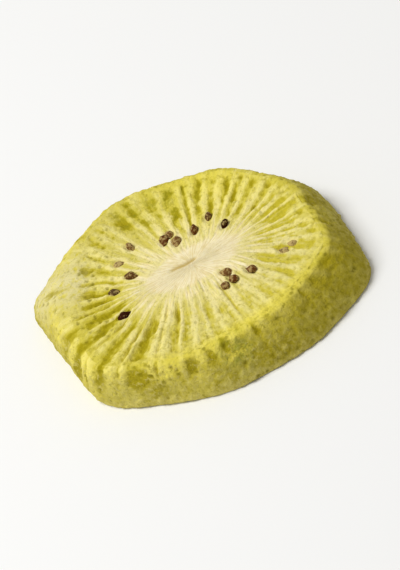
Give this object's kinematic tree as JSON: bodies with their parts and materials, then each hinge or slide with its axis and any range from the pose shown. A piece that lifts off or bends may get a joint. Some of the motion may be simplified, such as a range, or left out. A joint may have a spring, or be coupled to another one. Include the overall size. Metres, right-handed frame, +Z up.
{
  "type": "freeze-dried kiwi slice",
  "caption": "Freeze-dried kiwi slice that lies flat on its wider cut face, with slanted peel cuts round the rim, a pale oval core, raised rays, sunken pockets and dark seeds.",
  "frame": {"origin": "middle of the core on the wider cut face, which the slice rests on", "axes": "+Z up through the thickness to the narrower cut face, +X along the long way of the oval core"},
  "size_m": [0.0482, 0.0466, 0.008],
  "materials": {
    "kiwi_flesh": "dry, porous and matt, yellow-green with a cream core",
    "kiwi_seed": "satin dark brown"
  },
  "bodies": {
    "root": {"kiwi_slice": "kiwi_flesh"}
  },
  "joints": []
}
